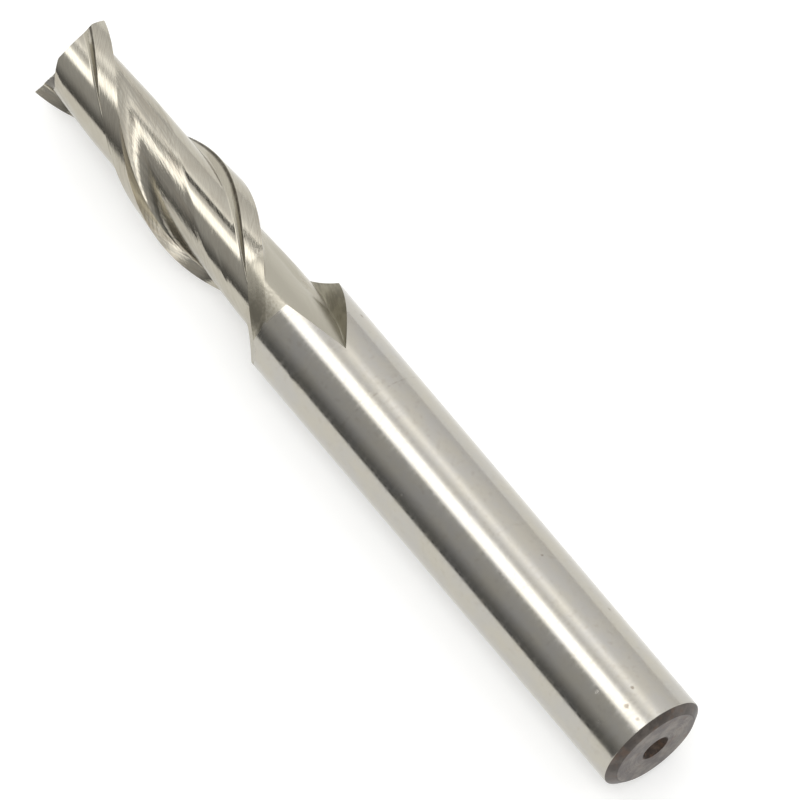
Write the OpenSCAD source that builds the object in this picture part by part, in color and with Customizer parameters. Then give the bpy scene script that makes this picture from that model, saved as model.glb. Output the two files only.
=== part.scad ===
// Two-flute end mill (slot drill) with a plain round shank thicker than its cutting diameter.
// It lies along X with its cutting tip at -X and its shank at +X, on the plane z = 0.
// All lengths are in millimetres and all angles in degrees.

/* [Overall] */
// Diameter that the teeth cut
cut_d = 7; // [5:0.1:7.6]
// Diameter of the plain shank
shank_d = 8; // [8:0.1:10]
// Length from the cutting tip to the rear face
total_len = 64.5; // [58:0.5:80]
// Length of the cutting head, from the tip to the weld
head_len = 34; // [31:0.5:40]

/* [Flutes] */
// Helix angle at the cutting diameter
helix_angle = 34; // [25:0.5:40]
// Turn of the first tooth's corner about the axis, from +Y
first_tooth = 31; // [0:1:90]
// Width of the land behind each cutting edge, as an angle
land_angle = 24.5; // [15:0.5:30]
// How far the back of the land lies below the cutting circle
land_drop = 0.18; // [0.05:0.01:0.3]
// Angle behind the cutting edge at which the wall behind the land ends
foot_angle = 34; // [32:1:60]
// Angle behind the cutting edge at which the flute begins
flute_start = 96; // [85:1:110]
// Radius of the tooth's back at the foot of that wall, as a part of the cutting radius
back_ratio = 0.743; // [0.7:0.001:0.8]
// Radius of the flute floor at its deepest, as a part of the cutting radius
floor_ratio = 0.665; // [0.55:0.005:0.7]
// Rake angle of the tooth's front face
rake_angle = 10; // [0:1:15]

/* [Tip] */
// Relief angle of the end teeth, right behind their edges
end_relief = 2; // [1:0.5:8]
// How far behind the end edges the steeper second relief begins
relief_width = 1.3; // [0.8:0.1:1.8]
// Angle of the second relief
second_relief = 16.5; // [10:0.5:25]
// Dish angle of the end teeth, which lowers their inner ends
dish_angle = 2; // [0:0.5:4]
// Slope of the gash in front of each end tooth
gash_slope = 39; // [30:1:50]
// Greatest depth of the gash
gash_depth = 1.1; // [0.6:0.1:1.3]

/* [Run-out] */
// Distance from the tip to where the flutes begin to run out
run_out_x = 17; // [16:0.5:18]
// Distance from the tip to where the shank reaches its full diameter
shoulder_x = 25; // [24.5:0.1:26]
// How much further the shoulder lies behind each land
shoulder_bulge = 0.7; // [0:0.1:1]
// Radius of the fillet between the teeth's backs and the shank
shoulder_fillet = 3.2; // [2:0.1:4]
// Length over which each land swells from the cutting diameter to the shank's
swell_len = 4.2; // [3:0.1:6]
// Radius of the grinding wheel, along whose rim the flute floor climbs out
wheel_r = 9.5; // [7:0.5:12]
// Angle behind the cutting edge at which the floor leaves the steel, level with the shoulder
exit_angle = 153; // [148:1:156]
// Distance from the tip to the end of the notch that the flute leaves in the shank
notch_end = 30.1; // [29.5:0.1:30.5]
// Angle behind the cutting edge at which the notch's wall begins
notch_angle = 73; // [68:1:76]
// Lean of the notch's wall, as an angle between its edge and its foot
notch_lean = 5; // [3:0.5:8]

/* [Shank end] */
// Length of the rear chamfer along the shank
chamfer_len = 0.45; // [0.2:0.05:1]
// Height of the rear chamfer, across the shank
chamfer_height = 0.7; // [0.2:0.05:1]
// Diameter of the centre hole where it meets the rear face
centre_d = 2.12; // [1.5:0.01:3]
// Diameter of the centre hole's pilot
pilot_d = 1; // [0.6:0.1:1.4]
// Depth of the pilot, from the rear face
pilot_depth = 2.2; // [1.8:0.1:4]

/* [Hidden] */

cut_r = cut_d / 2;
shank_r = shank_d / 2;
land_r = cut_r - land_drop;
back_r = cut_r * back_ratio;
floor_r = cut_r * floor_ratio;
crease_r = mix(back_r, floor_r, 0.2);
lead = PI * cut_d / tan(helix_angle);
tip_x = -total_len / 2;
weld_x = tip_x + head_len;
rear_x = total_len / 2;

// Steps along each stretch of half a section: land, wall, back, floor, root fillet, rake face
land_n = 5;
wall_n = 3;
back_n = 7;
floor_n = 12;
root_n = 4;
rake_n = 4;
foot_n = land_n + wall_n;
root_j = foot_n + back_n + floor_n;
half_n = root_j + root_n + rake_n;
ring_n = 2 * half_n;

// Where the root fillet leaves the floor, and how far down the rake face it starts
root_start = 152;
rake_len = 0.22 * cut_r;

// Rings of the swept skin: a short zone at the tip, the flutes, the shoulder, the notch, the weld
tip_rows = 4;
tip_zone = 1.6;
flutes_end = 22;
flute_rows = 36;
shoulder_rows = 18;
shoulder_end = 26.2;
notch_rows = 10;
stations = [
    for (i = [0 : flute_rows]) mix(tip_zone, flutes_end, i / flute_rows),
    for (i = [1 : shoulder_rows]) mix(flutes_end, shoulder_end, i / shoulder_rows),
    for (i = [1 : notch_rows]) mix(shoulder_end, notch_end, i / notch_rows),
    head_len
];
cap_n = 8;

function clamp01(u) = min(1, max(0, u));
function mix(a, b, u) = a + (b - a) * u;
function ease(a, b, t) = let (u = clamp01((t - a) / (b - a))) u * u * (3 - 2 * u);
function polar(r, a) = [r * cos(a), r * sin(a)];
function angle_of(p) = let (a = atan2(p[1], p[0])) a < -1 ? a + 360 : a;
function bend(a, b, c, u) = mix(mix(a, b, u), mix(b, c, u), u);

// Radius of the fluted section at an angle behind a cutting edge, up to the root fillet
function section_r(a) =
    a < land_angle ? mix(cut_r, land_r, a / land_angle)
        : a < foot_angle ? mix(land_r, back_r, (a - land_angle) / (foot_angle - land_angle))
        : a < flute_start ? mix(back_r, crease_r, (a - foot_angle) / (flute_start - foot_angle))
        : mix(crease_r, floor_r, clamp01((a - flute_start) / (root_start - flute_start)));

// Half a section, from a cutting edge back to the next one, as points
function stretch(from, to, n) = [for (i = [0 : n - 1]) let (a = mix(from, to, i / n)) polar(section_r(a), a)];
function rake_pt(d, hook) = [-cut_r + d * cos(hook), -d * sin(hook)];
function root_pts(hook) = [
    for (i = [0 : root_n - 1])
        bend(polar(floor_r, root_start), polar(floor_r, 178), rake_pt(rake_len, hook), i / root_n)
];
function rake_pts(hook) = [for (i = [0 : rake_n - 1]) rake_pt(mix(rake_len, 0, i / rake_n), hook)];
function half_section(hook) = concat(
    stretch(0, land_angle, land_n),
    stretch(land_angle, foot_angle, wall_n),
    stretch(foot_angle, flute_start, back_n),
    stretch(flute_start, root_start, floor_n),
    root_pts(hook),
    rake_pts(hook)
);

// Depth of the tip's end surface below the cutting corners, over a point of the section
function end_depth(p) =
    let (
        side = p[1] < 0 ? -1 : 1,
        along = side * p[0],
        behind = side * p[1],
        dish = max(0, cut_r - norm(p)) * tan(dish_angle),
        flank = behind * tan(end_relief) + max(0, behind - relief_width) * tan(second_relief),
        gash = tan(gash_slope) * max(0, 0.25 - along) * ease(0, 0.4, behind)
    )
    dish + flank + min(gash_depth, gash);

// Radius of the fillet that carries the teeth's backs out into the shank's front end
function shoulder_r(x, a) =
    let (
        full = shoulder_x + shoulder_bulge * sin(180 * clamp01((a - 5) / 70)),
        start = full - sqrt(2 * shoulder_fillet * (shank_r - floor_r))
    )
    x < start ? 0 : min(shank_r, floor_r + pow(x - start, 2) / (2 * shoulder_fillet));
function swell(x) = clamp01((x - shoulder_x) / swell_len + 1);

// The notch: its wall's angle, its far edge's angle, and the floor's radius as it climbs out
notch_turn = 7;
exit_run = (notch_end - shoulder_x) / (exit_angle - notch_angle - notch_turn);
function notch_wall(x) = notch_angle + notch_turn * clamp01((x - shoulder_x) / (notch_end - shoulder_x));
function notch_far(x) = exit_angle - max(0, min(x, notch_end) - shoulder_x) / exit_run;
function exit_r(x, a) =
    let (start = shoulder_x + (exit_angle - a) * exit_run - sqrt(2 * wheel_r * (shank_r - floor_r)))
    floor_r + pow(max(0, x - start), 2) / (2 * wheel_r);

// Radius over the run-out, where base is the plain section's radius
function run_out_r(x, a, base) =
    let (
        on_land = clamp01((land_angle - a) / 2.5 + 1),
        back = mix(min(shank_r, max(base, shoulder_r(x, a))), shank_r, swell(x) * on_land),
        floor = min(mix(cut_r, shank_r, swell(x)), max(base, exit_r(x, a))),
        past = clamp01((a - notch_wall(x)) / notch_lean)
    )
    past <= 0 ? back : mix(max(back, floor), floor, past);

// Beside the shank, points of the section run on as the notch's edge, its wall's foot and its far edge
edge_j = foot_n + 5;
foot_j = edge_j + 1;
far_j = root_j - 7;
function last_angle(x) = mix(root_start, exit_angle + 4, ease(run_out_x, run_out_x + 5, x));
function spread(j, x, own) =
    let (wall = notch_wall(x), foot = wall + notch_lean, far = max(foot + 2, notch_far(x)))
    j <= foot_n ? own
        : j <= edge_j ? mix(foot_angle, wall, (j - foot_n) / (edge_j - foot_n))
        : j <= far_j ? mix(foot, far, (j - foot_j) / (far_j - foot_j))
        : mix(far, last_angle(x), (j - far_j) / (root_j - far_j));
function fan(j, x) = mix(last_angle(x), 180, (j - root_j) / (half_n - root_j));
function run_out_pt(j, p, x) =
    let (
        own = angle_of(p),
        a = j > root_j
            ? mix(own, fan(j, x), ease(run_out_x, run_out_x + 5, x))
            : mix(own, spread(j, x, own), ease(shoulder_x - 3.4, shoulder_x - 1.4, x)),
        base = j > root_j ? mix(norm(p), floor_r, ease(shoulder_x - 4.5, shoulder_x - 2.2, x)) : norm(p)
    )
    polar(run_out_r(x, a, base), a);

// One ring of the skin at x, as section points
function half_ring(x) =
    let (half = half_section(rake_angle * (1 - ease(run_out_x, run_out_x + 4, x))))
    x <= run_out_x ? half : [for (j = [0 : half_n - 1]) run_out_pt(j, half[j], x)];
function ring(x) = let (half = half_ring(x)) concat(half, -half);

// A section point carried to its place along the tool, turned with the helix
function placed(p, x) =
    let (a = first_tooth + 360 * min(x, notch_end) / lead)
    [tip_x + x, p[0] * cos(a) - p[1] * sin(a), p[0] * sin(a) + p[1] * cos(a) + shank_r];

module cutting_head() {
    tip = ring(0);
    tip_skin = [
        for (i = [0 : tip_rows - 1]) for (p = tip) placed(p, mix(end_depth(p), tip_zone, i / tip_rows))
    ];
    body_skin = [for (x = stations) let (r = ring(x)) for (p = r) placed(p, x)];
    skin = concat(tip_skin, body_skin);
    rows = len(skin) / ring_n;
    // Points across the tip, on chords that join the two sides of the section
    cap = [
        for (j = [1 : half_n - 1]) for (k = [1 : cap_n - 1])
            let (p = mix(tip[j], tip[ring_n - j], k / cap_n)) placed(p, end_depth(p))
    ];
    function cap_index(j, k) =
        j == 0 || k == 0 ? j
            : j == half_n ? half_n
            : k == cap_n ? ring_n - j
            : len(skin) + (j - 1) * (cap_n - 1) + k - 1;
    sides = [
        for (i = [0 : rows - 2]) for (j = [0 : ring_n - 1])
            let (a = i * ring_n + j, b = i * ring_n + (j + 1) % ring_n)
            each [[a, a + ring_n, b], [b, a + ring_n, b + ring_n]]
    ];
    tip_faces = [
        for (j = [0 : half_n - 1]) for (k = [0 : cap_n - 1])
            let (
                a = cap_index(j, k),
                b = cap_index(j + 1, k),
                c = cap_index(j + 1, k + 1),
                d = cap_index(j, k + 1)
            )
            each [if (a != d) [a, b, d], if (b != c) [b, c, d]]
    ];
    weld_face = [[for (j = [ring_n - 1 : -1 : 0]) (rows - 1) * ring_n + j]];
    color("darkkhaki") polyhedron(concat(skin, cap), concat(sides, tip_faces, weld_face), convexity = 6);
}

module shank() {
    cone_depth = (centre_d - pilot_d) / 2 / tan(30);
    color("silver")
    translate([weld_x, 0, shank_r])
    rotate([0, 90, 0])
    rotate_extrude($fn = 96)
    polygon([
        [0, 0],
        [shank_r, 0],
        [shank_r, rear_x - weld_x - chamfer_len],
        [shank_r - chamfer_height, rear_x - weld_x],
        [centre_d / 2, rear_x - weld_x],
        [pilot_d / 2, rear_x - weld_x - cone_depth],
        [pilot_d / 2, rear_x - weld_x - pilot_depth],
        [0, rear_x - weld_x - pilot_depth]
    ]);
}

cutting_head();
shank();
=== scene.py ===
"""Looks of the two-flute end mill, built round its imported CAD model."""

import math

import bpy
import numpy as np
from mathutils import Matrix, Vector


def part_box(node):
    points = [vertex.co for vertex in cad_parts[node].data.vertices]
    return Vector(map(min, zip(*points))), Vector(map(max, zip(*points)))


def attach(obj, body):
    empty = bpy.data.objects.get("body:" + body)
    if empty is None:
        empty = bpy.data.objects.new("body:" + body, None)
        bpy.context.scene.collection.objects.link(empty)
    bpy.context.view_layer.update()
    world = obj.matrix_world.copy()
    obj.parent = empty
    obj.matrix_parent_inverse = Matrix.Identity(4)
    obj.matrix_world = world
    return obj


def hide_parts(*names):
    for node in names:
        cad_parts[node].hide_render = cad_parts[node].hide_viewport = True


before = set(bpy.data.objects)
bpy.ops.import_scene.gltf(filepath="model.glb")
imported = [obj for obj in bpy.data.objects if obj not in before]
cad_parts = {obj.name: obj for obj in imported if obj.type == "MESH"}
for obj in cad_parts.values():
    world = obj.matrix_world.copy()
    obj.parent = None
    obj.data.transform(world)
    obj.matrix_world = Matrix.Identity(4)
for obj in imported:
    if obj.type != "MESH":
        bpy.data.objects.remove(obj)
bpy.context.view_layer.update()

MM = 0.001

# ---------------------------------------------------------------- sizes, in millimetres and degrees
head_lo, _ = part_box("cutting_head")
shank_lo, shank_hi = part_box("shank")
TIP, WELD, REAR = head_lo[0] / MM, shank_lo[0] / MM, shank_hi[0] / MM
SHANK_R = (shank_hi[1] - shank_lo[1]) / 2 / MM
AXIS_Z = (shank_lo[2] + shank_hi[2]) / 2 / MM
CUT_R = 0.875 * SHANK_R
HELIX = 34.0
LEAD = 2 * math.pi * CUT_R / math.tan(math.radians(HELIX))
FIRST_TOOTH = 31.0

# The section: angles behind a cutting edge, and the radii there
LAND_END = 24.5
FOOT = 34.0
FLUTE_START = 96.0
ROOT_START = 152.0
ROOT_CORNER = 178.0
LAND_R = CUT_R - 0.18
BACK_R = 0.743 * CUT_R
FLOOR_R = 0.665 * CUT_R
CREASE_R = BACK_R + 0.2 * (FLOOR_R - BACK_R)
WALL_HOLLOW = 2.4
RAKE = 10.0
RAKE_LEN = 0.22 * CUT_R

# The end teeth
TIP_LEN = 1.6
DISH = 2.0
END_RELIEF = 2.0
SECOND_RELIEF = 16.5
SECOND_RELIEF_FROM = 1.3
GASH_ANGLE = 39.0
GASH_FROM = 0.25
GASH_SOFT = 0.4
GASH_DEPTH = 1.1

# The run-out into the shank: lengths are from the tip
RUN_OUT_X = 17.0
RAKE_FADE = 4.0
FAN_FADE = 5.0
SHOULDER_X = 25.0
SHOULDER_FILLET = 3.2
SHOULDER_BULGE = 0.7
BULGE_FROM, BULGE_SPAN = 5.0, 70.0
SWELL_X = SHOULDER_X - 4.2
SWELL_LEN = 4.3
SWELL_SOFT = 0.08
SWELL_BACK = 2.5
BACK_SOFT = 0.05
FLOOR_SOFT = 0.12
WHEEL_R = 9.5
EXIT_ANGLE = 153.0

# The notch that each flute leaves in the front of the shank
NOTCH_END = 30.1
NOTCH_ANGLE = 73.0
NOTCH_TURN = 7.0
NOTCH_LEAN = 5.0
NOTCH_CLOSE = 1.2
NOTCH_HOLLOW = 1.6
EXIT_RUN = (NOTCH_END - SHOULDER_X) / (EXIT_ANGLE - NOTCH_ANGLE - NOTCH_TURN)

# The rear end
CHAMFER_LEN = 0.45
CHAMFER_HEIGHT = 0.7
CENTRE_R = 1.06
PILOT_R = 0.5
PILOT_DEPTH = 2.2
DRILL_DEPTH = 2.5
CENTRE_HALF_ANGLE = 30.0


# ---------------------------------------------------------------- small helpers
def clamp01(u):
    return np.clip(u, 0.0, 1.0)


def mix(a, b, u):
    return a + (b - a) * u


def soft_max(a, b, width):
    """The larger of two lengths, rounded over where they cross."""
    return (a + b + np.sqrt((a - b) ** 2 + width**2)) / 2 - width / 2 * np.exp(-((a - b) / width) ** 2)


def ease(a, b, t):
    u = clamp01((t - a) / (b - a))
    return u * u * (3 - 2 * u)


def tan_of(degrees):
    return math.tan(math.radians(degrees))


def new_mesh(name, points, faces):
    mesh = bpy.data.meshes.new(name)
    mesh.from_pydata([tuple(p) for p in points], [], faces)
    mesh.validate()
    obj = bpy.data.objects.new(name, mesh)
    bpy.context.scene.collection.objects.link(obj)
    return obj


# ---------------------------------------------------------------- the cutting head
# Points on each stretch of half a section, and the number of the first point past it
LAND_N, WALL_N, BACK_N, FLOOR_N, ROOT_N, RAKE_N = 14, 9, 30, 22, 12, 9
FOOT_J = LAND_N + WALL_N
FLOOR_J = FOOT_J + BACK_N
ROOT_J = FLOOR_J + FLOOR_N
HALF_N = ROOT_J + ROOT_N + RAKE_N
RING_N = 2 * HALF_N
# Points that run on as the notch's edge, the foot of its wall and its far edge
EDGE_J = FOOT_J + BACK_N // 2
NOTCH_J = EDGE_J + 7
FAR_J = ROOT_J - 9
# Rows of points from the corners to the plain section, and points across the tip
TIP_ROWS = 8
CAP_N = 28
# What a face of the head is made of
FLUTE, NOTCH, ROUND, END = range(4)


def section_r(a):
    """Radius of the section at an angle behind a cutting edge, with a hollow foot to the wall."""
    land = mix(CUT_R, LAND_R, clamp01(a / LAND_END))
    drop = clamp01((a - LAND_END) / (FOOT - LAND_END))
    wall = BACK_R + (LAND_R - BACK_R) * (1 - drop) ** WALL_HOLLOW
    back = mix(BACK_R, CREASE_R, clamp01((a - FOOT) / (FLUTE_START - FOOT)))
    floor = mix(CREASE_R, FLOOR_R, clamp01((a - FLUTE_START) / (ROOT_START - FLUTE_START)))
    return np.where(a < LAND_END, land, np.where(a < FOOT, wall, np.where(a < FLUTE_START, back, floor)))


def polar(r, a):
    return np.stack([r * np.cos(np.radians(a)), r * np.sin(np.radians(a))], axis=-1)


def half_section(hook):
    """Half a section as points, from one cutting edge back to the next, for one rake angle."""
    angles = np.concatenate([
        np.linspace(0, LAND_END, LAND_N, endpoint=False),
        np.linspace(LAND_END, FOOT, WALL_N, endpoint=False),
        np.linspace(FOOT, FLUTE_START, BACK_N, endpoint=False),
        np.linspace(FLUTE_START, ROOT_START, FLOOR_N, endpoint=False),
    ])
    skin = polar(section_r(angles), angles)
    inward = np.array([math.cos(math.radians(hook)), -math.sin(math.radians(hook))])
    next_edge = np.array([-CUT_R, 0.0])
    a, b, c = polar(FLOOR_R, ROOT_START), polar(FLOOR_R, ROOT_CORNER), next_edge + RAKE_LEN * inward
    u = np.linspace(0, 1, ROOT_N, endpoint=False)[:, None]
    root = mix(mix(a, b, u), mix(b, c, u), u)
    rake = next_edge + np.linspace(RAKE_LEN, 0, RAKE_N, endpoint=False)[:, None] * inward
    return np.concatenate([skin, root, rake])


def both(half):
    return np.concatenate([half, -half])


def end_depth(p):
    """Depth of the tip's end surface below the cutting corners, over points of the section."""
    side = np.where(p[..., 1] < 0, -1.0, 1.0)
    along, behind = side * p[..., 0], side * p[..., 1]
    dish = np.maximum(0, CUT_R - np.linalg.norm(p, axis=-1)) * tan_of(DISH)
    flank = behind * tan_of(END_RELIEF) + np.maximum(0, behind - SECOND_RELIEF_FROM) * tan_of(SECOND_RELIEF)
    gash = tan_of(GASH_ANGLE) * np.maximum(0, GASH_FROM - along) * ease(0, GASH_SOFT, behind)
    return dish + flank + np.minimum(GASH_DEPTH, gash)


def fillet(x, end, radius):
    """A fillet that rises from the floor's radius and would reach the shank's at x = end."""
    start = end - math.sqrt(2 * radius * (SHANK_R - FLOOR_R))
    return FLOOR_R + np.maximum(0, x - start) ** 2 / (2 * radius)


def shoulder_r(x, a):
    """The fillet behind a land, between the tooth's back and the shank's full diameter."""
    full = SHOULDER_X + SHOULDER_BULGE * np.sin(np.pi * clamp01((a - BULGE_FROM) / BULGE_SPAN))
    return np.minimum(SHANK_R, fillet(x, full, SHOULDER_FILLET))


def exit_r(x, a):
    """The flute floor where it climbs out of the steel along the rim of the grinding wheel."""
    return fillet(x, SHOULDER_X + (EXIT_ANGLE - a) * EXIT_RUN, WHEEL_R)


def notch_wall(x):
    """Angle of the notch's edge, behind the tooth."""
    return NOTCH_ANGLE + NOTCH_TURN * clamp01((x - SHOULDER_X) / (NOTCH_END - SHOULDER_X))


def notch_lean(x):
    """Angle that the notch's wall takes up, which closes at the notch's end."""
    return NOTCH_LEAN * clamp01((NOTCH_END - x) / NOTCH_CLOSE)


def notch_far(x):
    """Angle of the notch's far edge, where the flute floor has climbed to the shank's diameter."""
    return EXIT_ANGLE - (x - SHOULDER_X) / EXIT_RUN


def run_out_r(x, a, base):
    """Radius over angles a near the shank, where base is the plain section's radius."""
    grown = min(1.0, float(soft_max(0.0, (x - SWELL_X) / SWELL_LEN, SWELL_SOFT)))
    back = np.minimum(SHANK_R, soft_max(base, shoulder_r(x, a), BACK_SOFT))
    back = mix(back, SHANK_R, grown * clamp01((LAND_END + SWELL_BACK - a) / SWELL_BACK))
    limit = mix(CUT_R, SHANK_R, grown)
    floor = np.minimum(limit, soft_max(base, exit_r(x, a), FLOOR_SOFT))
    wall = notch_wall(x)
    past = clamp01((a - wall) / np.maximum(0.05, notch_lean(x)))
    side = floor + np.maximum(0, back - floor) * (1 - past) ** NOTCH_HOLLOW
    return np.where(a <= wall, back, np.where(past < 1, side, floor))


def half_ring(x):
    """Half a section at x, whose points turn along the section to follow the notch's edges."""
    half = half_section(RAKE * (1 - ease(RUN_OUT_X, RUN_OUT_X + RAKE_FADE, x)))
    if x <= RUN_OUT_X:
        return half
    own = np.degrees(np.arctan2(half[:, 1], half[:, 0]))
    own = np.where(own < -1, own + 360, own)
    fanned = ease(RUN_OUT_X, RUN_OUT_X + FAN_FADE, x)
    wall = notch_wall(x)
    foot = wall + notch_lean(x)
    far = max(foot + 0.2, min(EXIT_ANGLE, notch_far(min(x, NOTCH_END))))
    last = mix(ROOT_START, EXIT_ANGLE + 4, float(fanned))
    j = np.arange(HALF_N)
    led = np.interp(j, [FOOT_J, EDGE_J, NOTCH_J, FAR_J, ROOT_J], [FOOT, wall, foot, far, last])
    led = np.where(j <= FOOT_J, own, led)
    near = mix(own, led, ease(SHOULDER_X - 3.4, SHOULDER_X - 1.4, x))
    fan = mix(own, mix(last, 180.0, (j - ROOT_J) / (HALF_N - ROOT_J)), fanned)
    a = np.where(j <= ROOT_J, near, fan)
    base = np.linalg.norm(half, axis=1)
    level = mix(base, FLOOR_R, ease(SHOULDER_X - 4.5, SHOULDER_X - 2.2, x))
    base = np.where(j > ROOT_J, level, base)
    return polar(run_out_r(x, a, base), a)


def turned(p, x):
    """Section points carried to their place along the tool, in metres."""
    a = np.radians(FIRST_TOOTH + 360 * np.minimum(x, NOTCH_END) / LEAD)
    c, s = np.cos(a), np.sin(a)
    u, v = p[..., 0], p[..., 1]
    return MM * np.stack([TIP + x + 0 * u, u * c - v * s, AXIS_Z + u * s + v * c], axis=-1)


def head_rows(tip):
    """The head's rings from the tip back, each as section points and their distances from the tip."""
    depth = end_depth(tip)
    rows = [(tip, mix(depth, TIP_LEN, (i / TIP_ROWS) ** 1.3)) for i in range(TIP_ROWS)]
    stations = np.concatenate([
        np.linspace(TIP_LEN, RUN_OUT_X, 145),
        np.linspace(RUN_OUT_X, SHOULDER_X - 3, 50)[1:],
        np.linspace(SHOULDER_X - 3, SHOULDER_X + 1.2, 60)[1:],
        np.linspace(SHOULDER_X + 1.2, NOTCH_END, 46)[1:],
        np.linspace(NOTCH_END, WELD - TIP, 4)[1:],
    ])
    return rows + [(both(half_ring(x)), np.full(RING_N, x)) for x in stations]


def build_head():
    """The head's mesh, with each corner's place on the skin for the streaks, and the notches' far edges."""
    tip = both(half_section(RAKE))
    rows = head_rows(tip)
    n = len(rows)
    points = np.concatenate([turned(p, x) for p, x in rows])
    radius = np.array([np.linalg.norm(p, axis=1) for p, x in rows])
    # The skin's three parts: place along the tool, arc behind the edge, and the plain section's angle
    plain = half_section(RAKE)
    behind = np.full(HALF_N + 1, 180.0)
    behind[:HALF_N] = np.degrees(np.arctan2(plain[:, 1], plain[:, 0])) % 360
    around = []
    for p, x in rows:
        steps = np.linalg.norm(np.diff(np.concatenate([p[:HALF_N], -p[:1]]), axis=0), axis=1)
        around.append(np.concatenate([[0], np.cumsum(steps)]))
    faces, kind, skin = [], [], []
    for i in range(n - 1):
        x0, x1 = rows[i][1], rows[i + 1][1]
        for j in range(RING_N):
            k = (j + 1) % RING_N
            h = j % HALF_N
            faces.append((i * RING_N + j, (i + 1) * RING_N + j, (i + 1) * RING_N + k, i * RING_N + k))
            skin += [
                (x0[j], around[i][h], behind[h]), (x1[j], around[i + 1][h], behind[h]),
                (x1[k], around[i + 1][h + 1], behind[h + 1]), (x0[k], around[i][h + 1], behind[h + 1]),
            ]
            at = max(x0[j], x1[j])
            least = min(radius[i][j], radius[i + 1][j], radius[i][k], radius[i + 1][k])
            if at > SHOULDER_X - 0.3 and least > SHANK_R - 0.004:
                kind.append(ROUND)
            elif at > SHOULDER_X - 1.6 and EDGE_J <= h < NOTCH_J:
                kind.append(NOTCH)
            else:
                kind.append(FLUTE)

    # Points across the tip, on chords that join the two sides of the section
    first = len(points)
    cap = np.array([mix(tip[j], tip[RING_N - j], k / CAP_N) for j in range(1, HALF_N) for k in range(1, CAP_N)])
    points = np.concatenate([points, turned(cap, end_depth(cap))])

    def index(j, k):
        if j == 0 or k == 0:
            return j
        if j == HALF_N:
            return HALF_N
        if k == CAP_N:
            return RING_N - j
        return first + (j - 1) * (CAP_N - 1) + k - 1

    for j in range(HALF_N):
        for k in range(CAP_N):
            face = tuple(dict.fromkeys([index(j, k), index(j + 1, k), index(j + 1, k + 1), index(j, k + 1)]))
            faces.append(face)
            kind.append(END)
            skin += [(points[v][1] / MM, points[v][2] / MM, 0) for v in face]

    # The flat that closes the head at the weld
    faces.append(tuple((n - 1) * RING_N + j for j in reversed(range(RING_N))))
    kind.append(ROUND)
    skin += [(0, 0, 0)] * RING_N
    crease = {
        (i * RING_N + j, (i + 1) * RING_N + j)
        for i in range(n - 1) if SHOULDER_X < rows[i][1][0] < NOTCH_END
        for j in (FAR_J, FAR_J + HALF_N)
    }
    return points, faces, kind, skin, crease


# ---------------------------------------------------------------- the shank
SHANK_SEG = 160
# What a face of the shank is made of
SIDE, CHAMFER, REAR_FACE, HOLE = range(4)


def rounded(a, b, c, cut, steps=4):
    """The corner b between a and c, rounded over a length cut on each side."""
    a, b, c = np.array(a), np.array(b), np.array(c)
    p = b + (a - b) / np.linalg.norm(a - b) * cut
    q = b + (c - b) / np.linalg.norm(c - b) * cut
    return [tuple(mix(mix(p, b, u), mix(b, q, u), u)) for u in np.linspace(0, 1, steps)]


def shank_profile():
    """Places and radii from the middle of the weld round to the bottom of the centre hole."""
    rim = REAR - CHAMFER_LEN
    cone = (CENTRE_R - PILOT_R) / tan_of(CENTRE_HALF_ANGLE)
    # Each corner with the length that its rounding takes
    stops = [
        ((rim, SHANK_R), 0.10), ((REAR, SHANK_R - CHAMFER_HEIGHT), 0.12),
        ((REAR, CENTRE_R), 0.05), ((REAR - cone, PILOT_R), 0.03),
    ]
    ends = [(WELD, SHANK_R), (REAR - PILOT_DEPTH, PILOT_R)]
    path = [ends[0]] + [stop for stop, cut in stops] + [ends[1]]
    profile = [(WELD, 0.0)]
    profile += [(mix(WELD, rim, u), SHANK_R) for u in np.linspace(0, 0.98, 40)]
    for i, (stop, cut) in enumerate(stops):
        profile += rounded(path[i], stop, path[i + 2], cut)
    return profile + [ends[1], (REAR - DRILL_DEPTH, 0.0)]


def build_shank():
    """The shank turned from its profile, with softened corners."""
    profile = shank_profile()
    points, faces, kind = [], [], []
    for x, r in profile[1:-1]:
        for k in range(SHANK_SEG):
            a = 2 * math.pi * k / SHANK_SEG
            points.append((x * MM, r * math.cos(a) * MM, (AXIS_Z + r * math.sin(a)) * MM))
    first, last = len(points), len(points) + 1
    points += [(profile[0][0] * MM, 0, AXIS_Z * MM), (profile[-1][0] * MM, 0, AXIS_Z * MM)]
    rings = len(profile) - 2
    for i in range(rings - 1):
        (_, ra), (xb, rb) = profile[i + 1], profile[i + 2]
        if max(ra, rb) > SHANK_R - 0.01 and xb < REAR - CHAMFER_LEN + 0.02:
            what = SIDE
        elif max(ra, rb) > SHANK_R - CHAMFER_HEIGHT + 0.03:
            what = CHAMFER
        elif min(ra, rb) > CENTRE_R + 0.01:
            what = REAR_FACE
        else:
            what = HOLE
        for k in range(SHANK_SEG):
            m = (k + 1) % SHANK_SEG
            row, after = i * SHANK_SEG, (i + 1) * SHANK_SEG
            faces.append((row + k, after + k, after + m, row + m))
            kind.append(what)
    end = (rings - 1) * SHANK_SEG
    for k in range(SHANK_SEG):
        m = (k + 1) % SHANK_SEG
        faces += [(first, k, m), (end + k, last, end + m)]
        kind += [SIDE, HOLE]
    return points, faces, kind


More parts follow.
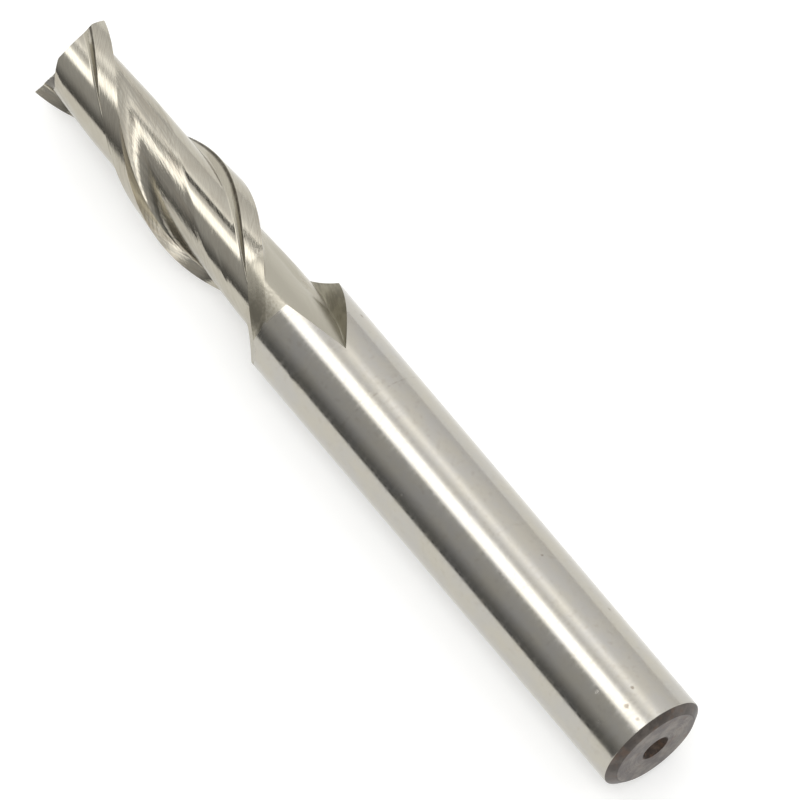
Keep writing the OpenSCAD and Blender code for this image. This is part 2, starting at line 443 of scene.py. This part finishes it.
# ---------------------------------------------------------------- where the camera stands
# Distance in metres, focal length in sensor widths, and the point aimed at in millimetres from the tip's centre
LOOK_AZ, LOOK_EL = math.radians(52.2418), math.radians(66.0343)
LOOK_DISTANCE = 1.3265
LENS = 24.633
SENSOR = 36
AIM_ALONG, AIM_ASIDE = 34.1042, 2.0178
toward_camera = Vector(
    (math.sin(LOOK_AZ) * math.cos(LOOK_EL), -math.cos(LOOK_AZ) * math.cos(LOOK_EL), math.sin(LOOK_EL))
)
axis = Vector((1, 0, 0))
facing = (toward_camera - axis * toward_camera.dot(axis)).normalized()
sideways = facing.cross(axis)
aim = Vector(((TIP + AIM_ALONG) * MM, 0, AXIS_Z * MM)) + sideways * AIM_ASIDE * MM


def around_axis(degrees):
    """A direction square to the tool's axis, turned from the side that faces the camera."""
    return facing * math.cos(math.radians(degrees)) + sideways * math.sin(math.radians(degrees))


# ---------------------------------------------------------------- materials
class Nodes:
    """A material's nodes, with short ways to make the ones used here."""

    def __init__(self, name):
        self.mat = bpy.data.materials.new(name)
        self.mat.use_nodes = True
        self.tree = self.mat.node_tree
        self.tree.nodes.clear()

    def make(self, kind, **inputs):
        node = self.tree.nodes.new(kind)
        for key, value in inputs.items():
            self.feed(node.inputs[key.replace("_", " ")], value)
        return node

    def feed(self, socket, value):
        if isinstance(value, bpy.types.NodeSocket):
            self.tree.links.new(value, socket)
        else:
            socket.default_value = value

    def math(self, operation, a, b=0.0, c=0.0):
        node = self.tree.nodes.new("ShaderNodeMath")
        node.operation = operation
        for socket, value in zip(node.inputs, (a, b, c)):
            self.feed(socket, value)
        return node.outputs[0]

    def mul(self, a, b):
        return self.math("MULTIPLY", a, b)

    def add(self, a, b):
        return self.math("ADD", a, b)

    def plus(self, a, b, factor):
        """a with b times factor added."""
        return self.math("MULTIPLY_ADD", b, factor, a)

    def scale_shift(self, value, low, high, to_low=0.0, to_high=1.0):
        """Carries value from low..high to to_low..to_high, held at both ends and eased between."""
        node = self.make("ShaderNodeMapRange")
        node.interpolation_type = "SMOOTHSTEP"
        for socket, v in zip(node.inputs, (value, low, high, to_low, to_high)):
            self.feed(socket, v)
        return node.outputs[0]

    def vector(self, x, y, z):
        return self.make("ShaderNodeCombineXYZ", X=x, Y=y, Z=z).outputs[0]

    def place(self):
        return self.make("ShaderNodeNewGeometry").outputs["Position"]

    def place_mm(self, place):
        """The three parts of a place, in millimetres."""
        split = self.make("ShaderNodeSeparateXYZ", Vector=place)
        return [self.mul(v, 1 / MM) for v in split.outputs]

    def noise(self, vector, scale, detail=3.0, rough=0.55):
        node = self.make("ShaderNodeTexNoise", Vector=vector, Scale=scale, Detail=detail, Roughness=rough)
        return node.outputs[0]

    def stretched(self, parts, pitches, detail=3.0, rough=0.55):
        """Noise with its own number of waves per millimetre along each part."""
        scaled = [self.mul(part, pitch) for part, pitch in zip(parts, pitches)]
        return self.noise(self.vector(*scaled), 1.0, detail, rough)

    def blend(self, a, b, factor):
        node = self.tree.nodes.new("ShaderNodeMix")
        node.data_type = "RGBA"
        self.feed(node.inputs["Factor"], factor)
        self.feed(node.inputs[6], a)
        self.feed(node.inputs[7], b)
        return node.outputs[2]

    def finish(self, color, rough, height=None, depth=0.0, metallic=1.0):
        out = self.make("ShaderNodeOutputMaterial")
        shader = self.make("ShaderNodeBsdfPrincipled", Roughness=rough, Metallic=metallic)
        self.feed(shader.inputs["Base Color"], color)
        if height is not None:
            bump = self.make("ShaderNodeBump", Height=height, Distance=depth * MM, Strength=1.0)
            self.tree.links.new(bump.outputs[0], shader.inputs["Normal"])
        self.tree.links.new(shader.outputs[0], out.inputs["Surface"])
        return self.mat


def rgb(r, g, b):
    return (r, g, b, 1.0)


STEEL = rgb(0.455, 0.430, 0.372)
STEEL_COOL = rgb(0.435, 0.420, 0.390)
STEEL_DARK = rgb(0.24, 0.21, 0.17)
SPECK = rgb(0.38, 0.35, 0.30)
FLUTE_LIGHT = rgb(0.455, 0.43, 0.365)
FLUTE_CLOUD = rgb(0.425, 0.395, 0.33)
FLUTE_STREAK = rgb(0.36, 0.335, 0.28)
FLOOR_FLOW = rgb(0.40, 0.365, 0.30)
FLOOR_LINE = rgb(0.355, 0.335, 0.285)
SATIN_BACK = rgb(0.42, 0.395, 0.33)
SATIN_LAND = rgb(0.385, 0.36, 0.295)
# Dark line painted along the step behind each land
STEP_LINE_TONE = rgb(0.075, 0.065, 0.05)
# Painted dark reflection: the shank's dark band carried onto the land beside the shoulder
PAINTED_DARK_REFLECTION = rgb(0.13, 0.115, 0.085)
# Painted highlight: a pale spot on the head where the run-out catches the light
PAINTED_HIGHLIGHT_SPOT = rgb(0.50, 0.47, 0.40)
RUST = rgb(0.17, 0.13, 0.09)
DEEP_RUST = rgb(0.16, 0.10, 0.07)
RUB = rgb(0.46, 0.44, 0.40)


def add_marks(n, place, marks, color, rough, height):
    """Small stains and rubs, and also painted highlights and reflections, each (distance from the rear, angle
    round, distance out, radius, colour).
    """
    edge = n.noise(place, 5000.0, 2.0, 0.5)
    for from_rear, angle, out, size, tint in marks:
        at = around_axis(angle)
        away = n.tree.nodes.new("ShaderNodeVectorMath")
        away.operation = "DISTANCE"
        n.feed(away.inputs[0], place)
        away.inputs[1].default_value = Vector((REAR - from_rear, out * at.y, AXIS_Z + out * at.z)) * MM
        reach = n.plus(away.outputs["Value"], edge, -0.9 * size * MM)
        mask = n.scale_shift(reach, 0.6 * size * MM, -0.3 * size * MM)
        color = n.blend(color, tint, n.mul(mask, 0.6))
        rough = n.add(rough, n.mul(mask, 0.10))
        height = n.math("SUBTRACT", height, n.mul(mask, 1.2))
    return color, rough, height


def ground_round(name, marks):
    """A cylindrically ground shank: rings too fine to see one by one, faint clouds, and the marks given."""
    n = Nodes(name)
    place = n.place()
    x, y, z = parts = n.place_mm(place)
    rings = n.stretched(parts, (22.0, 0.5, 0.5), 4.0)
    scratch = n.stretched(parts, (5.0, 0.9, 0.9), 3.0, 0.7)
    clouds = n.stretched(parts, (0.35, 0.5, 0.5), 4.0, 0.6)
    specks = n.noise(n.vector(x, y, z), 2.6, 2.0, 0.5)
    color = n.blend(STEEL, STEEL_COOL, n.scale_shift(clouds, 0.3, 0.7))
    color = n.blend(color, SPECK, n.scale_shift(specks, 0.56, 0.72, 0.0, 0.35))
    # The last few millimetres are duller from handling and clamping
    dull = n.scale_shift(n.plus(x, clouds, 1.5), REAR - 2.4, REAR - 1.0)
    rough = n.add(n.scale_shift(scratch, 0.35, 0.75, 0.12, 0.22), n.mul(dull, 0.05))
    # The weld shows as a broken hairline
    weld = n.scale_shift(n.math("ABSOLUTE", n.math("SUBTRACT", x, WELD)), 0.09, 0.02)
    weld = n.mul(weld, n.scale_shift(specks, 0.42, 0.6, 0.0, 0.45))
    color = n.blend(color, STEEL_DARK, n.mul(weld, 0.5))
    height = n.add(n.mul(rings, 0.35), n.mul(clouds, 1.2))
    color, rough, height = add_marks(n, place, marks, color, rough, height)
    return n.finish(color, rough, height, 0.004)


def fluted(name, marks):
    """Ground flutes and lands: streaks along the helix and across it, and a satin run-out into the shank."""
    n = Nodes(name)
    skin_in = n.tree.nodes.new("ShaderNodeAttribute")
    skin_in.attribute_name = "skin"
    # Place along the tool, arc behind the edge and angle behind the edge
    x, w, behind = n.make("ShaderNodeSeparateXYZ", Vector=skin_in.outputs["Vector"]).outputs
    place = n.place()
    spot = n.make("ShaderNodeVectorMath", Vector=place)
    spot.operation = "SCALE"
    spot.inputs["Scale"].default_value = 1 / MM
    clouds = n.noise(spot.outputs[0], 0.5, 4.0, 0.6)
    fine = n.noise(spot.outputs[0], 3.0, 3.0, 0.6)

    # Streaks: along the helix, steeper than it, and shallower than it on the flute floor
    helix = n.noise(n.vector(n.mul(x, 0.22), n.mul(w, 6.0), 0.0), 1.0, 4.0, 0.6)
    along, across = n.plus(x, w, 0.52), n.plus(w, x, -0.52)
    cross = n.noise(n.vector(n.mul(along, 0.45), n.mul(across, 7.0), 3.0), 1.0, 4.0, 0.65)
    flow_x = n.mul(n.plus(x, w, -0.3), 0.13)
    flow_w = n.mul(n.plus(w, x, 0.3), 1.5)
    flow = n.noise(n.vector(flow_x, flow_w, 7.0), 1.0, 3.0, 0.6)
    lines = n.noise(n.vector(n.mul(flow_x, 2.0), n.mul(flow_w, 3.2), 11.0), 1.0, 3.0, 0.6)
    streak = n.add(n.mul(cross, 0.6), n.mul(helix, 0.4))

    # Where each kind of finish lies; the satin starts first on the floor, then on the land, then on the back
    on_land = n.scale_shift(behind, LAND_END + 0.5, LAND_END - 0.5)
    on_back = n.mul(n.scale_shift(behind, LAND_END, LAND_END + 4), n.scale_shift(behind, 112, 98))
    satin = n.scale_shift(n.plus(n.plus(x, on_land, -2.0), on_back, -4.5), 17.5, 21.0)
    on_floor = n.scale_shift(behind, FLUTE_START - 4, FLUTE_START + 8)
    on_floor = n.mul(on_floor, n.math("SUBTRACT", 1.0, satin))
    bite = n.add(n.plus(0.35, on_floor, 0.55), n.mul(on_land, 0.5))
    bite = n.mul(bite, n.plus(1.0, satin, -0.8))

    color = n.blend(FLUTE_LIGHT, FLUTE_CLOUD, n.scale_shift(clouds, 0.35, 0.65))
    color = n.blend(color, FLUTE_STREAK, n.mul(n.scale_shift(streak, 0.42, 0.62), bite))
    color = n.blend(color, FLOOR_FLOW, n.mul(on_floor, n.scale_shift(flow, 0.5, 0.68)))
    color = n.blend(color, FLOOR_LINE, n.mul(on_floor, n.scale_shift(lines, 0.46, 0.62, 0.0, 0.8)))
    color = n.blend(color, n.blend(SATIN_BACK, SATIN_LAND, on_land), satin)

    # A dark line painted along the sharp step behind each land
    step_darkening = n.scale_shift(behind, LAND_END - 0.2, LAND_END + 0.5)
    step_darkening = n.mul(step_darkening, n.scale_shift(behind, LAND_END + 2.2, LAND_END + 1.0))
    step_darkening = n.mul(step_darkening, n.scale_shift(x, SHOULDER_X - 1.0, SHOULDER_X - 2.5))
    step_darkening = n.mul(step_darkening, n.scale_shift(fine, 0.2, 0.55, 0.55, 0.95))
    color = n.blend(color, STEP_LINE_TONE, step_darkening)

    rough = n.add(n.scale_shift(helix, 0.35, 0.7, 0.09, 0.19), n.mul(satin, n.plus(0.24, on_land, -0.12)))
    rough = n.math("MAXIMUM", rough, n.mul(step_darkening, 0.5))
    height = n.add(n.mul(streak, n.mul(bite, 3.0)), n.mul(clouds, 0.6))
    height = n.plus(height, flow, n.mul(on_floor, 4.0))
    height = n.plus(height, lines, n.mul(on_floor, 2.2))
    color, rough, height = add_marks(n, place, marks, color, rough, height)
    return n.finish(color, rough, height, 0.006)


def plain_ground(name, light, dark, rough, slant, pitch):
    """A small ground face with clouds and straight marks, which slant tilts along the tool."""
    n = Nodes(name)
    x, y, z = n.place_mm(n.place())
    across = n.add(n.plus(y, z, -0.6), n.mul(x, slant))
    scores = n.noise(n.vector(n.mul(across, pitch), n.mul(z, 0.8), 0.0), 1.0, 4.0, 0.6)
    clouds = n.noise(n.vector(x, y, z), 0.9, 4.0, 0.6)
    color = n.blend(light, dark, n.scale_shift(n.add(scores, clouds), 0.8, 1.25))
    return n.finish(color, n.scale_shift(scores, 0.3, 0.7, rough, rough + 0.15), scores, 0.003)


def turned_face(name, light, dark, rough, rust):
    """The rear end: rings left by the lathe tool, and clouds of oxide and rust."""
    n = Nodes(name)
    x, y, z = n.place_mm(n.place())
    up = n.math("SUBTRACT", z, AXIS_Z)
    r = n.math("SQRT", n.add(n.mul(y, y), n.mul(up, up)))
    rings = n.noise(n.vector(n.mul(n.add(r, x), 9.0), 0.0, 0.0), 1.0, 3.0, 0.6)
    clouds = n.noise(n.vector(x, y, z), 0.8, 5.0, 0.65)
    rusty = n.noise(n.vector(y, z, x), 1.3, 4.0)
    color = n.blend(light, dark, n.scale_shift(clouds, 0.36, 0.62))
    color = n.blend(color, DEEP_RUST, n.scale_shift(rusty, 0.52, 0.7, 0.0, rust))
    rough_out = n.scale_shift(rings, 0.3, 0.7, rough, rough + 0.18)
    return n.finish(color, rough_out, n.add(rings, n.mul(clouds, 1.5)), 0.006)


# ---------------------------------------------------------------- the pieces
def put(name, points, faces, kind, materials, sharp, crease=()):
    obj = new_mesh(name, points, faces)
    mesh = obj.data
    for material in materials:
        mesh.materials.append(material)
    mesh.polygons.foreach_set("material_index", kind)
    mesh.polygons.foreach_set("use_smooth", [True] * len(mesh.polygons))
    mesh.set_sharp_from_angle(angle=math.radians(sharp))
    for edge in mesh.edges:
        if tuple(sorted(edge.vertices)) in crease:
            edge.use_edge_sharp = True
    return obj


points, faces, kind, skin, crease = build_head()
head = put("cutting_head_ground", points, faces, kind, [
    # Both marks here are painted light: the pale spot is a painted highlight, and the large dark patch on the
    # land beside the shoulder is a painted reflection of the shank's dark band
    fluted("fluted_steel", [(43.8, 22, CUT_R, 0.5, PAINTED_HIGHLIGHT_SPOT), (40.6, -26, 3.8, 2.2, PAINTED_DARK_REFLECTION)]),
    plain_ground("notch_wall", rgb(0.30, 0.28, 0.22), rgb(0.20, 0.185, 0.145), 0.32, 0.8, 5.0),
    ground_round("ground_round_head", [(36.2, 68, SHANK_R, 0.22, RUST)]),
    plain_ground("end_teeth", rgb(0.42, 0.40, 0.36), rgb(0.29, 0.27, 0.24), 0.25, 0.0, 8.0),
], 32, crease)
attribute = head.data.attributes.new("skin", "FLOAT_VECTOR", "CORNER")
attribute.data.foreach_set("vector", np.array(skin, dtype=np.float32).ravel())
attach(head, "root")
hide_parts("cutting_head")

points, faces, kind = build_shank()
shank = put("shank_ground", points, faces, kind, [
    ground_round("ground_round_steel", [
        (2.3, 5, SHANK_R, 0.26, RUST), (3.1, 21, SHANK_R, 0.20, RUST), (1.1, 5, SHANK_R, 0.20, STEEL_DARK),
        (2.8, -27, SHANK_R, 0.34, RUB), (4.4, -8, SHANK_R, 0.26, RUB), (14.5, 40, SHANK_R, 0.14, STEEL_DARK),
        (24.0, -30, SHANK_R, 0.16, RUB), (9.0, 66, SHANK_R, 0.20, STEEL_DARK), (8.0, 150, SHANK_R, 0.24, RUST),
    ]),
    turned_face("chamfer_oxide", rgb(0.125, 0.11, 0.10), rgb(0.08, 0.07, 0.064), 0.35, 0.35),
    turned_face("rear_face_oxide", rgb(0.21, 0.19, 0.17), rgb(0.125, 0.11, 0.105), 0.35, 0.4),
    turned_face("centre_hole_oxide", rgb(0.10, 0.075, 0.06), rgb(0.05, 0.04, 0.035), 0.45, 0.7),
], 24)
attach(shank, "root")
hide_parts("shank")

# ---------------------------------------------------------------- floor
FLOOR_HALF = 2
GLOW = 0.45
floor = new_mesh(
    "floor",
    [(x * FLOOR_HALF, y * FLOOR_HALF, 0) for x, y in [(-1, -1), (1, -1), (1, 1), (-1, 1)]],
    [(0, 1, 2, 3)],
)
n = Nodes("floor_paper")
grain = n.noise(n.place(), 900.0, 3.0)
out = n.make("ShaderNodeOutputMaterial")
shader = n.make("ShaderNodeBsdfPrincipled", Roughness=0.9)
n.feed(shader.inputs["Base Color"], n.blend(rgb(0.62, 0.62, 0.615), rgb(0.60, 0.60, 0.595), grain))
shader.inputs["Specular IOR Level"].default_value = 0.1
shader.inputs["Emission Color"].default_value = rgb(1, 1, 0.99)
shader.inputs["Emission Strength"].default_value = GLOW
n.tree.links.new(shader.outputs[0], out.inputs["Surface"])
floor.data.materials.append(n.mat)

# ---------------------------------------------------------------- light
# The room's brightness at angles round the tool's axis, from the side that faces the camera
BANDS = [
    (-180, 1.1), (-92, 1.1), (-86, 0.16), (-66, 0.16), (-53, 0.32), (-40, 0.50), (-9, 0.56),
    (-2, 2.8), (14, 2.8), (20, 1.2), (27, 1.02), (36, 1.50), (43, 1.85), (50, 1.45), (57, 1.16),
    (84, 1.0), (102, 0.88), (118, 1.1), (180, 1.1),
]
TOP = max(level for angle, level in BANDS)
world = bpy.data.worlds.new("studio")
bpy.context.scene.world = world
world.use_nodes = True
world_nodes, world_links = world.node_tree.nodes, world.node_tree.links
world_nodes.clear()
world_out = world_nodes.new("ShaderNodeOutputWorld")
light = world_nodes.new("ShaderNodeBackground")
light.inputs["Strength"].default_value = TOP
world_links.new(light.outputs[0], world_out.inputs[0])
coord = world_nodes.new("ShaderNodeTexCoord")


def dot_with(v):
    node = world_nodes.new("ShaderNodeVectorMath")
    node.operation = "DOT_PRODUCT"
    world_links.new(coord.outputs["Generated"], node.inputs[0])
    node.inputs[1].default_value = tuple(v)
    return node.outputs["Value"]


def from_to(value, low, high):
    node = world_nodes.new("ShaderNodeMapRange")
    node.inputs["From Min"].default_value = low
    node.inputs["From Max"].default_value = high
    world_links.new(value, node.inputs["Value"])
    return node.outputs[0]


swing = world_nodes.new("ShaderNodeMath")
swing.operation = "ARCTAN2"
world_links.new(dot_with(sideways), swing.inputs[0])
world_links.new(dot_with(facing), swing.inputs[1])
ramp = world_nodes.new("ShaderNodeValToRGB")
world_links.new(from_to(swing.outputs[0], -math.pi, math.pi), ramp.inputs[0])
while len(ramp.color_ramp.elements) < len(BANDS):
    ramp.color_ramp.elements.new(0.5)
for element, (angle, level) in zip(ramp.color_ramp.elements, BANDS):
    element.position = 0.5 + angle / 360
    element.color = (level / TOP, level / TOP, level / TOP, 1)
# Toward the two ends of the axis the panels stop: the room is light past the tip and dark past the rear
end_dot = dot_with(axis)
tone = ramp.outputs[0]
for near, far, level in [(-0.62, -0.80, 1.05), (0.55, 0.95, 0.48)]:
    blend = world_nodes.new("ShaderNodeMix")
    blend.data_type = "RGBA"
    blend.inputs[7].default_value = (level / TOP, level / TOP, level * 0.97 / TOP, 1)
    world_links.new(from_to(end_dot, near, far), blend.inputs["Factor"])
    world_links.new(tone, blend.inputs[6])
    tone = blend.outputs[2]
world_links.new(tone, light.inputs["Color"])

n = Nodes("card_black")
grain = n.noise(n.place(), 200.0)
card_black = n.finish(n.blend(rgb(0.012, 0.012, 0.012), rgb(0.02, 0.02, 0.02), grain), 0.9, metallic=0.0)


def card(name, at, along, across):
    """A black card that only reflections see, given by its middle and its two half sides."""
    corners = [at - along - across, at + along - across, at + along + across, at - along + across]
    obj = new_mesh(name, corners, [(0, 1, 2, 3)])
    obj.data.materials.append(card_black)
    obj.visible_camera = obj.visible_diffuse = obj.visible_shadow = False


# A narrow one above the flutes draws the dark line along them, in the direction that the tool's side mirrors
LEAN, OUTWARD = 0.322, 0.947
over = around_axis(36) * OUTWARD - axis * LEAN
above_flutes = Vector((TIP + 9.2, 0, AXIS_Z)) * MM + over * 0.125
card("card_over", above_flutes, axis * 0.010, over.cross(axis).normalized() * 0.014)
# A wide one on the floor, in front of the tool, draws the lower edge of the dark band
card("card_front", Vector((0, -1.0, 0.0004)), axis * 0.5, Vector((0, 0.933, 0)))

# ---------------------------------------------------------------- camera
camera_data = bpy.data.cameras.new("camera")
camera = bpy.data.objects.new("camera", camera_data)
bpy.context.scene.collection.objects.link(camera)
camera_data.sensor_width = SENSOR
camera_data.lens = SENSOR * LENS
camera.location = aim + toward_camera * LOOK_DISTANCE
camera.rotation_mode = "QUATERNION"
camera.rotation_quaternion = (-toward_camera).to_track_quat("-Z", "Y")
camera_data.clip_start, camera_data.clip_end = 0.05, 10
bpy.context.scene.camera = camera
bpy.context.scene.view_settings.view_transform = "Standard"
